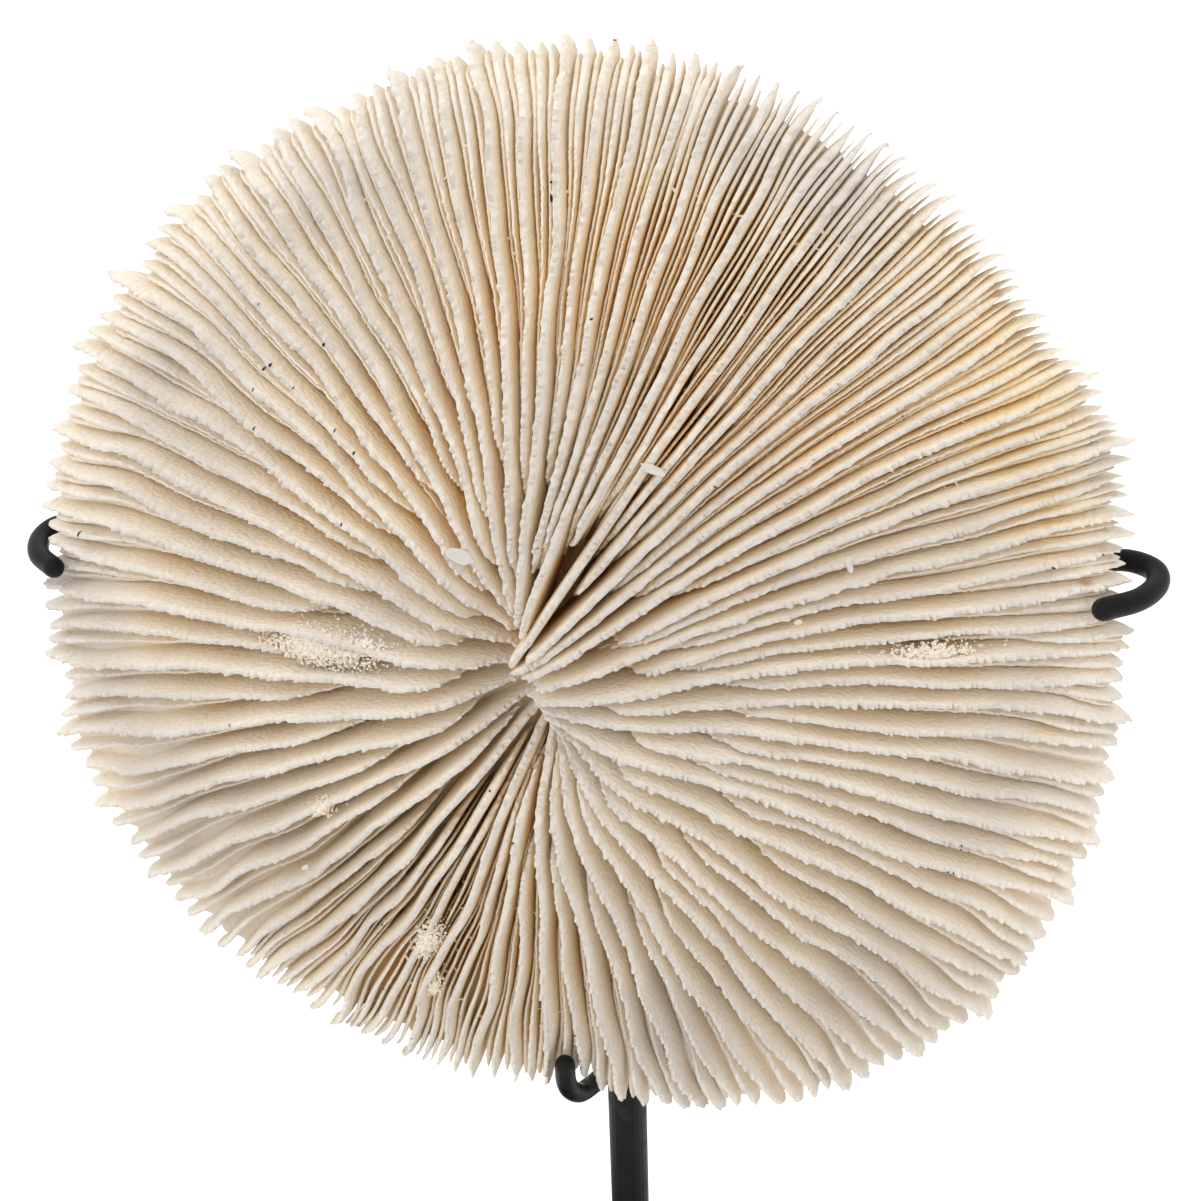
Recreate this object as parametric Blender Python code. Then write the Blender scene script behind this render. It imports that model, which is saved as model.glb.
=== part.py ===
"""Mushroom coral held upright by a black wire stand.

The coral is one closed solid: a low dome whose ridges (the septa) run from a
slit-shaped mouth to a toothed rim, over a hollow, finely ribbed back.
A vertical rod on a plain base plate ends behind the hollow back, and three
bent wires reach from it round the rim: one left, one right, one below.

The coral's own axes are u (to the right), v (up along the face) and w (out of
the face), from the middle of its rim plane. World axes: +Z up, and the face
looks towards -Y, leaning back a little. Lengths below are in millimetres.
"""

import math
import random

import bmesh
import bpy
from mathutils import Matrix, Vector

MM = 0.001
TOUCH_GAP = 0.3
BRAZE_GAP = 0.45

# The coral's outline and dome
RIM_RADIUS = 80.2
DOME_HEIGHT = 29.2
DOME_POWER = 1.4
DOME_SHOULDER = 0.787
FACE_LEAN_DEG = 10.3
SEED = 7

# Slow lobes of the rim: how many round the circle, share of the radius, direction of a lobe
RIM_LOBES = (
    (2, 0.0115, -50.0),
    (3, 0.0245, -43.0),
    (4, 0.0120, 39.5),
    (5, 0.0046, 13.0),
)

# The mouth: a slit that the ridges start from, off the middle of the rim
MOUTH_RIGHT = 2.2
MOUTH_UP = 4.1
MOUTH_HALF_LENGTH = 8.3
MOUTH_DIRECTION_DEG = 91.0
MOUTH_FADE = 0.495
MOUTH_CENTRING = 2.34

# The inner ends of the ridges sway sideways: to the right and up the face, as an even part
# and parts that go with the cosine and sine of the direction, once and twice round
SWAY_REACH = 0.246
SWAY_RIGHT = (-1.46, 2.26, -1.10, 0.27, 0.04)
SWAY_UP = (-2.98, -1.10, 0.12, -0.85, 0.43)

# The face dips at the mouth, least at its upper right and most at its lower left
DIP_REACH = 0.114
DIP_DEPTH = 6.9
DIP_TILT = 6.65
DIP_TOWARDS_DEG = 226.6
MOUTH_FLOOR_HEIGHT = 12.5
MOUTH_WALL_REACH = 0.05

# Ridges and valleys; the ridges crowd together towards one side
RIDGES = 88
CROWDING = 0.13
CROWDING_TWICE = 0.03
CROWDING_TOWARDS_DEG = 15.0
CROWDING_ROUNDS = 20
RIDGE_WANDER_DEG = 0.8
VALLEY_WANDER_SHARE = 0.8
CALM_SHARE = 0.55
CALM_TOWARDS_DEG = 50.0
WANDER_TURN = 5.0
WANDER_PHASE_STEP = 0.55
WANDER_PHASE_SPREAD = 0.8
VALLEY_DEPTH = 3.0
CREST_PARTS_FROM = (0.06, 0.15)
VALLEY_DEEPENS = (0.06, 0.22)
SHORT_RIDGE_START = 0.20
SHORT_RIDGE_RISE = 0.10
TIP_LONG = 1.017
TIP_SHORT = 0.997
TIP_UNEVENNESS = 0.010
VALLEY_REACH = 0.950
TIP_THICKNESS = 2.6

# The hollow back
BACK_SETBACK = 2.6
BACK_HOLLOW = 10.5
RIB_HEIGHT = 0.7
RIB_RISES = (0.5, 0.9)

SHARP_FROM_DEG = 35.0

# The stand
ROD_DIAMETER = 6.35
WIRE_DIAMETER = 3.3
ROD_RIGHT = 7.8
ROD_FORWARD = 4.4
ROD_TOP_BELOW_CENTRE = 2.0
BASE_WIDTH = 104.0
BASE_DEPTH = 86.0
BASE_THICKNESS = 9.0
BASE_FORWARD = 15.0
BASE_EDGE = 1.2
BASE_CORNER = 3.0
EDGE_TEST = 1.0
ROD_SIDES = 24
ROD_FOOT_CHAMFER = 0.3
ROD_TOP_CHAMFER = 0.9

# Where the bottom wire meets the rod's flank, as shares of the rod's radius to the left and front
FLANK_LEFT = 0.8
FLANK_FRONT = 0.75
WIRE_STEP = WIRE_DIAMETER * 0.85
CURVE_PARTS = 24
CENTRE_ABOVE_BASE = 160.0

# A wire's rounded end: steps ahead and widths, both as shares of the wire's radius
ROUNDED_END = ((0.45, 0.89), (0.80, 0.60), (0.97, 0.26))

CENTRE_HEIGHT = BASE_THICKNESS + CENTRE_ABOVE_BASE
ROD_RADIUS = ROD_DIAMETER / 2
WIRE_RADIUS = WIRE_DIAMETER / 2

# Short stretches of the rim that are fuller, or worn back where a hook bears:
# direction, half width, share of the radius
RIM_STRETCHES = (
    (23.0, 8.5, 0.040),
    (111.0, 8.0, -0.016),
    (156.0, 14.0, 0.013),
    (200.0, 10.0, 0.022),
    (243.0, 16.0, 0.014),
    (257.0, 10.0, 0.018),
    (306.0, 6.0, -0.008),
    (176.5, 3.5, -0.012),
    (271.0, 3.5, -0.038),
)

# Where the rings of the coral's mesh lie, as shares of the way from the mouth to the tips
FACE_ROWS = (0.10, 0.15, 0.21, 0.28, 0.36, 0.44, 0.52, 0.60, 0.68, 0.76, 0.84, 0.90, 0.95)
BACK_ROWS = (0.92, 0.80, 0.64)
BACK_INNER_ROWS = (0.44, 0.22)
TIP_SHARE = 0.9


def smooth_step(low, high, value):
    """0 below low, 1 above high, and a smooth rise between."""
    t = min(max((value - low) / (high - low), 0.0), 1.0)
    return t * t * (3 - 2 * t)


def rim_radius(angle):
    """Distance from the middle of the coral to its rim, in one direction."""
    lobes = 0.0
    for count, share, towards in RIM_LOBES:
        lobes += share * math.cos(count * (angle - math.radians(towards)))
    stretches = 0.0
    for towards, half_width, share in RIM_STRETCHES:
        away = (math.degrees(angle) - towards + 180) % 360 - 180
        stretches += share * math.exp(-((away / half_width) ** 2))
    return RIM_RADIUS * (1 + lobes + stretches)


def dome_height(angle, reach):
    """Height of the ridge crests over the rim plane; reach is 0 at the mouth, 1 at the rim."""
    inside = max(0.0, 1 - reach ** DOME_POWER)
    dip = DIP_DEPTH + DIP_TILT * math.cos(angle - math.radians(DIP_TOWARDS_DEG))
    return DOME_HEIGHT * inside ** DOME_SHOULDER - dip * math.exp(-((reach / DIP_REACH) ** 2))


def back_height(reach):
    """Height of the hollow back over the rim plane."""
    return BACK_HOLLOW * (1 - reach ** 2) - BACK_SETBACK


def sway(parts, angle, reach):
    """Sideways shift of a ridge near the mouth, from its even part and its parts round the mouth."""
    waves = (1, math.cos(angle), math.sin(angle), math.cos(2 * angle), math.sin(2 * angle))
    total = sum(part * wave for part, wave in zip(parts, waves))
    return total * math.exp(-((reach / SWAY_REACH) ** 2))


def coral_point(angle, reach, height):
    """A point in the coral's own axes, on the line that one ridge follows."""
    inner = max(0.0, 1 - reach)
    towards = math.radians(MOUTH_DIRECTION_DEG)
    centring = 1 - reach ** MOUTH_CENTRING
    along = MOUTH_HALF_LENGTH * inner ** MOUTH_FADE * math.cos(angle - towards)
    out = reach * rim_radius(angle)
    u = MOUTH_RIGHT * centring + out * math.cos(angle) + along * math.cos(towards)
    v = MOUTH_UP * centring + out * math.sin(angle) + along * math.sin(towards)
    return Vector((u + sway(SWAY_RIGHT, angle, reach), v + sway(SWAY_UP, angle, reach), height))


def coral_to_world():
    """Matrix from the coral's own axes, in millimetres, to the stand's axes in metres."""
    lean = math.radians(FACE_LEAN_DEG)
    right = Vector((1, 0, 0))
    up_face = Vector((0, math.sin(lean), math.cos(lean)))
    outward = Vector((0, -math.cos(lean), math.sin(lean)))
    turn = Matrix((right, up_face, outward)).transposed().to_4x4()
    lift = Matrix.Translation(Vector((0, 0, CENTRE_HEIGHT * MM)))
    return lift @ turn @ Matrix.Scale(MM, 4)


class Column:
    """One radial line of the coral's mesh: a ridge's crest, or the valley after it."""

    def __init__(self, angle, wander, phase, is_crest, tip, start):
        self.angle = angle
        self.wander = wander
        self.phase = phase
        self.is_crest = is_crest
        self.tip = tip
        self.start = start

    def angle_at(self, reach):
        """The ridges wander a little to the side on their way to the rim."""
        bend = math.sin(self.phase + WANDER_TURN * reach) * reach * (1 - reach ** 4)
        return self.angle + self.wander * bend

    def sink(self, reach):
        """How far this line lies below the crests' dome."""
        if self.is_crest:
            rise = smooth_step(self.start, self.start + SHORT_RIDGE_RISE, reach)
            return VALLEY_DEPTH * (1 - rise) * smooth_step(*CREST_PARTS_FROM, reach)
        return VALLEY_DEPTH * smooth_step(*VALLEY_DEEPENS, reach)


def ridge_angle(place):
    """Direction of the ridge at a place in the row; half places are the valleys between."""
    even = 2 * math.pi * place / RIDGES
    angle = even
    for _ in range(CROWDING_ROUNDS):
        away = angle - math.radians(CROWDING_TOWARDS_DEG)
        angle = even - CROWDING * math.sin(away) - CROWDING_TWICE * math.sin(2 * away)
    return angle


def ridge_wander(angle):
    """How far a ridge wanders to the side; on one side of the coral the ridges run straighter."""
    calm = max(0.0, math.cos(angle - math.radians(CALM_TOWARDS_DEG)))
    return math.radians(RIDGE_WANDER_DEG) * (1 - CALM_SHARE * calm)


def ridge_columns():
    """Two columns for each ridge: its crest, and the valley after it."""
    dice = random.Random(SEED)
    phases = []
    tips = []
    for index in range(RIDGES):
        phases.append(WANDER_PHASE_STEP * index + dice.uniform(-WANDER_PHASE_SPREAD, WANDER_PHASE_SPREAD))
        base = TIP_LONG if index % 2 == 0 else TIP_SHORT
        tips.append(base + dice.uniform(-TIP_UNEVENNESS, TIP_UNEVENNESS))
    columns = []
    for index in range(RIDGES):
        phase = phases[index]
        start = 0.0 if index % 2 == 0 else SHORT_RIDGE_START
        wander = ridge_wander(ridge_angle(index))
        columns.append(Column(ridge_angle(index), wander, phase, True, tips[index], start))
        following = phases[(index + 1) % RIDGES]
        between = math.atan2(math.sin(phase) + math.sin(following), math.cos(phase) + math.cos(following))
        valley_wander = wander * VALLEY_WANDER_SHARE
        columns.append(Column(ridge_angle(index + 0.5), valley_wander, between, False, VALLEY_REACH, 0.0))
    return columns


def ring(mesh, columns, place):
    """One closed ring of points; place(column) gives each point in the coral's axes."""
    return [mesh.verts.new(place(column)) for column in columns]


def bridge(mesh, outer, inner):
    """A band of four-sided faces between two rings of the same length."""
    count = len(outer)
    for index in range(count):
        following = (index + 1) % count
        mesh.faces.new((outer[index], outer[following], inner[following], inner[index]))


def bridge_two_to_one(mesh, outer, inner):
    """A band from a ring of two points a ridge to a ring of one point a ridge."""
    for index in range(len(inner)):
        here = inner[index]
        following = inner[(index + 1) % len(inner)]
        crest = outer[2 * index]
        valley = outer[2 * index + 1]
        next_crest = outer[(2 * index + 2) % len(outer)]
        mesh.faces.new((here, crest, valley))
        mesh.faces.new((here, valley, following))
        mesh.faces.new((valley, next_crest, following))


def reach_of(column, share):
    """The rings near the rim follow each column out to its own tip."""
    return share * column.tip if share > TIP_SHARE else share


def face_point(column, share):
    """A point of the face, at a share of the way from the mouth to this column's own tip."""
    reach = reach_of(column, share)
    angle = column.angle_at(share)
    height = dome_height(angle, min(reach, 1.0)) - column.sink(reach)
    edge_floor = back_height(min(reach, 1.0)) + TIP_THICKNESS
    return coral_point(angle, reach, max(height, edge_floor))


def back_point(column, share):
    """A point of the hollow back; each ridge runs on there as a low rib."""
    reach = reach_of(column, share)
    rib = RIB_HEIGHT * smooth_step(*RIB_RISES, share) if column.is_crest else 0.0
    return coral_point(column.angle_at(share), reach, back_height(min(reach, 1.0)) - rib)


def make_coral():
    """The whole coral as one closed solid."""
    columns = ridge_columns()
    crests = columns[::2]
    mesh = bmesh.new()
    floor_ring = ring(mesh, columns, lambda c: coral_point(c.angle, 0.0, MOUTH_FLOOR_HEIGHT))
    wall_ring = ring(mesh, columns, lambda c: face_point(c, MOUTH_WALL_REACH))
    mesh.faces.new(floor_ring)
    bridge(mesh, wall_ring, floor_ring)
    previous = wall_ring
    for share in FACE_ROWS + (1.0,):
        current = ring(mesh, columns, lambda c, s=share: face_point(c, s))
        bridge(mesh, current, previous)
        previous = current
    for share in (1.0,) + BACK_ROWS:
        current = ring(mesh, columns, lambda c, s=share: back_point(c, s))
        bridge(mesh, current, previous)
        previous = current
    for share in BACK_INNER_ROWS:
        current = ring(mesh, crests, lambda c, s=share: back_point(c, s))
        if len(previous) == len(columns):
            bridge_two_to_one(mesh, previous, current)
        else:
            bridge(mesh, current, previous)
        previous = current
    mesh.faces.new(list(reversed(previous)))
    bmesh.ops.triangulate(mesh, faces=mesh.faces[:], quad_method="SHORT_EDGE", ngon_method="EAR_CLIP")
    bmesh.ops.recalc_face_normals(mesh, faces=mesh.faces[:])
    data = bpy.data.meshes.new("coral")
    mesh.to_mesh(data)
    mesh.free()
    data.transform(coral_to_world())
    shade(data)
    return bpy.data.objects.new("coral", data)


def shade(data):
    """Smooth faces with sharp edges where they meet at more than a small angle."""
    data.shade_smooth()
    data.set_sharp_from_angle(angle=math.radians(SHARP_FROM_DEG))


def smooth_route(points, spacing):
    """Points at an even spacing along a smooth curve through the given ones."""
    knots = [Vector(point) for point in points]
    knots = [2 * knots[0] - knots[1]] + knots + [2 * knots[-1] - knots[-2]]
    dense = []
    for index in range(1, len(knots) - 2):
        before, start, end, after = knots[index - 1:index + 3]
        for part in range(CURVE_PARTS):
            t = part / CURVE_PARTS
            straight = 2 * start + (end - before) * t
            bend = (2 * before - 5 * start + 4 * end - after) * t ** 2
            twist = (3 * start - before - 3 * end + after) * t ** 3
            dense.append((straight + bend + twist) / 2)
    dense.append(knots[-2])
    length = sum((b - a).length for a, b in zip(dense, dense[1:]))
    count = max(2, round(length / spacing))
    route = [dense[0]]
    walked = 0.0
    for a, b in zip(dense, dense[1:]):
        piece = (b - a).length
        while len(route) < count and walked + piece >= length * len(route) / count:
            share = (length * len(route) / count - walked) / piece
            route.append(a.lerp(b, share))
        walked += piece
    route.append(dense[-1])
    return route


def make_wire(name, knots):
    """A bent round wire through the knots, cut square at the rod and rounded at its free end."""
    route = smooth_route(knots, WIRE_STEP)
    forward = (route[-1] - route[-2]).normalized()
    radii = [1.0] * len(route)
    last = route[-1]
    for ahead, radius in ROUNDED_END:
        route.append(last + forward * WIRE_RADIUS * ahead)
        radii.append(radius)
    curve = bpy.data.curves.new(name, "CURVE")
    curve.dimensions = "3D"
    curve.bevel_depth = WIRE_RADIUS * MM
    curve.bevel_resolution = 3
    curve.use_fill_caps = True
    curve.render_resolution_u = 0
    spline = curve.splines.new("POLY")
    spline.points.add(len(route) - 1)
    for point, place, radius in zip(spline.points, route, radii):
        point.co = (place.x * MM, place.y * MM, (place.z + CENTRE_HEIGHT) * MM, 1.0)
        point.radius = radius
    spline.use_smooth = True
    return bpy.data.objects.new(name, curve)


def make_left_arm():
    """From the rod's left flank, behind the hollow back, round the left rim."""
    start = ROD_RIGHT - ROD_RADIUS - BRAZE_GAP
    return make_wire("left_arm", (
        (start, -ROD_FORWARD, -7.0),
        (-10.0, -4.4, -6.0),
        (-36.0, -3.4, -1.0),
        (-56.0, 1.0, 3.0),
        (-70.0, 6.4, 5.6),
        (-77.4, 9.4, 6.2),
        (-81.8, 8.6, 6.2),
        (-82.8, 4.6, 6.0),
        (-80.8, -0.2, 6.0),
        (-76.8, -3.8, 6.0),
    ))


def make_right_arm():
    """From the rod's right flank, behind the hollow back, round the right rim."""
    start = ROD_RIGHT + ROD_RADIUS + BRAZE_GAP
    return make_wire("right_arm", (
        (start, -ROD_FORWARD, -7.0),
        (24.0, -4.2, -5.0),
        (44.0, -2.0, 1.0),
        (60.0, 3.2, 7.0),
        (70.0, 7.4, 10.8),
        (76.4, 8.8, 12.0),
        (80.8, 6.6, 12.2),
        (81.4, 2.8, 12.0),
        (78.6, -1.8, 12.0),
        (73.8, -5.2, 12.0),
    ))


def make_bottom_hook():
    """From the rod's front left flank, under the bottom rim and up in front of it."""
    return make_wire("bottom_hook", (
        (ROD_RIGHT - ROD_RADIUS * FLANK_LEFT - TOUCH_GAP, -ROD_FORWARD - ROD_RADIUS * FLANK_FRONT, -79.6),
        (3.2, -9.6, -79.9),
        (2.0, -13.4, -78.1),
        (1.4, -17.2, -73.9),
        (1.3, -19.6, -69.7),
        (1.5, -20.7, -65.4),
    ))


def turned_solid(name, profile, sides):
    """A closed solid turned round the vertical axis from (radius, height) pairs, bottom to top."""
    mesh = bmesh.new()
    rings = []
    for radius, height in profile:
        points = []
        for side in range(sides):
            angle = 2 * math.pi * side / sides
            place = Vector((radius * math.cos(angle), radius * math.sin(angle), height))
            points.append(mesh.verts.new(place * MM))
        rings.append(points)
    mesh.faces.new(list(reversed(rings[0])))
    mesh.faces.new(rings[-1])
    for lower, upper in zip(rings, rings[1:]):
        for side in range(sides):
            following = (side + 1) % sides
            mesh.faces.new((lower[side], lower[following], upper[following], upper[side]))
    data = bpy.data.meshes.new(name)
    mesh.to_mesh(data)
    mesh.free()
    shade(data)
    return bpy.data.objects.new(name, data)


def make_rod():
    """The upright rod, from the base plate to the hollow of the coral's back."""
    foot = BASE_THICKNESS + TOUCH_GAP
    top = CENTRE_HEIGHT - ROD_TOP_BELOW_CENTRE
    profile = (
        (ROD_RADIUS - ROD_FOOT_CHAMFER, foot),
        (ROD_RADIUS, foot + ROD_FOOT_CHAMFER),
        (ROD_RADIUS, top - ROD_TOP_CHAMFER),
        (ROD_RADIUS - ROD_TOP_CHAMFER, top),
    )
    rod = turned_solid("rod", profile, ROD_SIDES)
    rod.location = (ROD_RIGHT * MM, -ROD_FORWARD * MM, 0)
    return rod


def make_base():
    """The plain base plate, with rounded corners and a small chamfer at the top edge."""
    mesh = bmesh.new()
    bmesh.ops.create_cube(mesh, size=1.0)
    bmesh.ops.scale(mesh, vec=(BASE_WIDTH * MM, BASE_DEPTH * MM, BASE_THICKNESS * MM), verts=mesh.verts)
    bmesh.ops.translate(mesh, vec=(0, 0, BASE_THICKNESS * MM / 2), verts=mesh.verts)
    upright = [edge for edge in mesh.edges if abs(edge.verts[0].co.z - edge.verts[1].co.z) > EDGE_TEST * MM]
    bmesh.ops.bevel(mesh, geom=upright, offset=BASE_CORNER * MM, segments=4, profile=0.5, affect="EDGES")
    top_level = (BASE_THICKNESS - EDGE_TEST) * MM
    top = [edge for edge in mesh.edges if min(vert.co.z for vert in edge.verts) > top_level]
    bmesh.ops.bevel(mesh, geom=top, offset=BASE_EDGE * MM, segments=2, profile=0.5, affect="EDGES")
    data = bpy.data.meshes.new("base")
    mesh.to_mesh(data)
    mesh.free()
    shade(data)
    base = bpy.data.objects.new("base", data)
    base.location = (0, -BASE_FORWARD * MM, 0)
    return base


def material(name, colour, roughness, metallic):
    """A plain material with the colour, roughness and metallic value of the real surface."""
    made = bpy.data.materials.new(name)
    made.use_nodes = True
    shader = made.node_tree.nodes["Principled BSDF"]
    shader.inputs["Base Color"].default_value = (*colour, 1.0)
    shader.inputs["Roughness"].default_value = roughness
    shader.inputs["Metallic"].default_value = metallic
    return made


def stand_on_origin(objects):
    """Parents every piece to one empty, and moves it so that the whole stands on the origin."""
    holder = bpy.data.objects.new("holder", None)
    bpy.context.scene.collection.objects.link(holder)
    for piece in objects:
        bpy.context.scene.collection.objects.link(piece)
        piece.parent = holder
    bpy.context.view_layer.update()
    graph = bpy.context.evaluated_depsgraph_get()
    low = Vector((1, 1, 1))
    high = Vector((-1, -1, -1))
    for piece in objects:
        evaluated = piece.evaluated_get(graph)
        shape = evaluated.to_mesh()
        for vert in shape.vertices:
            place = evaluated.matrix_world @ vert.co
            low = Vector(map(min, low, place))
            high = Vector(map(max, high, place))
        evaluated.to_mesh_clear()
    middle = (low + high) / 2
    holder.location = (-middle.x, -middle.y, -low.z)


def main():
    for old in list(bpy.data.objects):
        bpy.data.objects.remove(old, do_unlink=True)
    coral = make_coral()
    stand = [make_rod(), make_left_arm(), make_right_arm(), make_bottom_hook(), make_base()]
    coral.data.materials.append(material("coral_skeleton", (0.80, 0.72, 0.62), 0.85, 0.0))
    for piece in stand:
        piece.data.materials.append(material(piece.name + "_black", (0.012, 0.012, 0.014), 0.42, 0.0))
    stand_on_origin([coral] + stand)


main()
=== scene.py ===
# %% [markdown]
# # A mushroom coral on its stand
#
# A mushroom coral lives alone and lies loose on the sand. What is left of it is a low stone dome
# with a slit-shaped mouth, and hundreds of thin upright plates, the septa, that run from the mouth
# to the rim. This lesson builds that skeleton plate by plate, because the plates, their toothed
# edges and the deep gaps between them are what the eye sees. The solids that carry it come first,
# as a fixed frame, and every piece here is placed by them.

# %% Load the frame
import math
import random

import bmesh
import bpy
import numpy as np
from mathutils import Matrix, Vector


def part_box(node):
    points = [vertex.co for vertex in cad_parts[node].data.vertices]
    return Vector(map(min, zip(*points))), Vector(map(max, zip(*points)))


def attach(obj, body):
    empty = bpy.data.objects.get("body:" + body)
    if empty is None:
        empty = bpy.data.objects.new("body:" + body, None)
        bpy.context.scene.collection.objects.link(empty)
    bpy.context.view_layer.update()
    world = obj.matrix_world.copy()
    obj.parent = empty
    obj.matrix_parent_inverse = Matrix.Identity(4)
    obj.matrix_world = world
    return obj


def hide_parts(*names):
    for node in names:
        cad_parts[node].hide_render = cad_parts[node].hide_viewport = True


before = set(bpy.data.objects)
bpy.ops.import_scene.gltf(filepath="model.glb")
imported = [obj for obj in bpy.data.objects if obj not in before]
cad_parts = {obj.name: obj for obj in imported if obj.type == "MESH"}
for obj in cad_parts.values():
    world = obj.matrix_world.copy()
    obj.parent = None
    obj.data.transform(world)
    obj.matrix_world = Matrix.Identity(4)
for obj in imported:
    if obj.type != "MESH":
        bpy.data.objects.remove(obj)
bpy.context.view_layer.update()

print("frame pieces:", sorted(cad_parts))

# %% [markdown]
# The measures are in millimetres. The rim, the dome, the mouth and the hollow back are written as
# formulas with a few driving sizes, the same ones as the solids have, so that the plates end where
# the solid's ridges end.

# %% Driving sizes
MM = 0.001
RIM_RADIUS = 80.2
DOME_HEIGHT = 29.2
DOME_POWER = 1.4
DOME_SHOULDER = 0.787
FACE_LEAN_DEG = 10.3
RIM_LOBES = ((2, 0.0115, -50.0), (3, 0.0245, -43.0), (4, 0.0120, 39.5), (5, 0.0046, 13.0))
RIM_STRETCHES = (
    (23.0, 8.5, 0.040),
    (111.0, 8.0, -0.016),
    (156.0, 14.0, 0.013),
    (200.0, 10.0, 0.022),
    (243.0, 16.0, 0.014),
    (257.0, 10.0, 0.018),
    (306.0, 6.0, -0.008),
    (176.5, 3.5, -0.012),
    (271.0, 3.5, -0.038),
)
MOUTH_RIGHT = 2.2
MOUTH_UP = 4.1
MOUTH_HALF_LENGTH = 8.3
MOUTH_DIRECTION_DEG = 91.0
MOUTH_FADE = 0.495
MOUTH_CENTRING = 2.34
SWAY_REACH = 0.246
SWAY_RIGHT = (-1.46, 2.26, -1.10, 0.27, 0.04)
SWAY_UP = (-2.98, -1.10, 0.12, -0.85, 0.43)
DIP_REACH = 0.114
DIP_DEPTH = 6.9
DIP_TILT = 6.65
DIP_TOWARDS_DEG = 226.6
MOUTH_FLOOR_HEIGHT = 12.5
BACK_SETBACK = 2.6
BACK_HOLLOW = 10.5
ROD_RIGHT = 7.8
ROD_FORWARD = 4.4
ROD_DIAMETER = 6.35
WIRE_DIAMETER = 3.3
BRAZE_GAP = 0.45
TOUCH_GAP = 0.3
CENTRE_ABOVE_BASE = 160.0

# %% Where the middle of the coral's rim plane is
rod_low, rod_high = (Vector(corner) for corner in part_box("rod"))
base_high = Vector(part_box("base")[1])
CENTRE = Vector((
    (rod_low.x + rod_high.x) / 2 - ROD_RIGHT * MM,
    (rod_low.y + rod_high.y) / 2 + ROD_FORWARD * MM,
    base_high.z + CENTRE_ABOVE_BASE * MM,
))
print("coral's middle, mm:", [round(value / MM, 2) for value in CENTRE])

# %% [markdown]
# The camera comes first, because every later choice is judged through it. It stands above and a
# little to the right of the coral, close enough that the near parts of the dome look larger. Its
# place is worked out from the coral's middle: so far back along the view, and so far off the axis.

# %% Camera
VIEW_TURN_DEG = 11.8
VIEW_LIFT_DEG = 30.0
VIEW_ROLL_DEG = 1.87
VIEW_DISTANCE = 268.7
CORAL_OFF_AXIS = (-4.77, -3.80)
LENS_MM = 55.8
SENSOR_MM = 36.0


def view_axes():
    """The camera's right, up and backward directions."""
    turn = math.radians(VIEW_TURN_DEG)
    lift = math.radians(VIEW_LIFT_DEG)
    back = Vector((math.sin(turn) * math.cos(lift), -math.cos(turn) * math.cos(lift), math.sin(lift)))
    level = Vector((math.cos(turn), math.sin(turn), 0))
    upright = back.cross(level)
    roll = math.radians(VIEW_ROLL_DEG)
    right = level * math.cos(roll) - upright * math.sin(roll)
    up = upright * math.cos(roll) + level * math.sin(roll)
    return right, up, back


def add_camera():
    """A camera that sees the coral from above and a little from the right."""
    right, up, back = view_axes()
    aside = right * CORAL_OFF_AXIS[0] + up * CORAL_OFF_AXIS[1]
    place = CENTRE - (aside - back * VIEW_DISTANCE) * MM
    data = bpy.data.cameras.new("view")
    data.lens = LENS_MM
    data.sensor_width = SENSOR_MM
    data.clip_start = 0.01
    camera = bpy.data.objects.new("view", data)
    camera.matrix_world = Matrix.Translation(place) @ Matrix((right, up, back)).transposed().to_4x4()
    bpy.context.scene.collection.objects.link(camera)
    bpy.context.scene.camera = camera
    return camera


camera = add_camera()
print("camera at, mm:", [round(value / MM, 1) for value in camera.location])

# %% [markdown]
# The coral has its own axes: u to the right, v up along the face, w out of the face. A place on it
# is given by an angle, by its reach, which is 0 at the mouth and 1 at the rim, and by its height w.

# %% The coral's shape as formulas


def smooth_step(low, high, value):
    """0 below low, 1 above high, and a smooth rise between."""
    t = np.clip((value - low) / (high - low), 0.0, 1.0)
    return t * t * (3 - 2 * t)


def rim_radius(angle):
    """Distance from the middle of the coral to its rim."""
    total = np.ones_like(angle)
    for count, share, towards in RIM_LOBES:
        total = total + share * np.cos(count * (angle - math.radians(towards)))
    for towards, half_width, share in RIM_STRETCHES:
        away = (np.degrees(angle) - towards + 180) % 360 - 180
        total = total + share * np.exp(-((away / half_width) ** 2))
    return RIM_RADIUS * total


def dome_height(angle, reach):
    """Height of the tall plates' edges over the rim plane; it dips towards the mouth."""
    inside = np.clip(1 - np.abs(reach) ** DOME_POWER, 0.0, None)
    dip = DIP_DEPTH + DIP_TILT * np.cos(angle - math.radians(DIP_TOWARDS_DEG))
    return DOME_HEIGHT * inside ** DOME_SHOULDER - dip * np.exp(-((reach / DIP_REACH) ** 2))


def back_height(reach):
    """Height of the hollow back over the rim plane."""
    return BACK_HOLLOW * (1 - np.minimum(reach, 1.0) ** 2) - BACK_SETBACK


def sway(parts, angle, reach):
    """Sideways shift of a plate near the mouth, where the plates bend round the slit."""
    waves = (1, np.cos(angle), np.sin(angle), np.cos(2 * angle), np.sin(2 * angle))
    return sum(part * wave for part, wave in zip(parts, waves)) * np.exp(-((reach / SWAY_REACH) ** 2))


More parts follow.
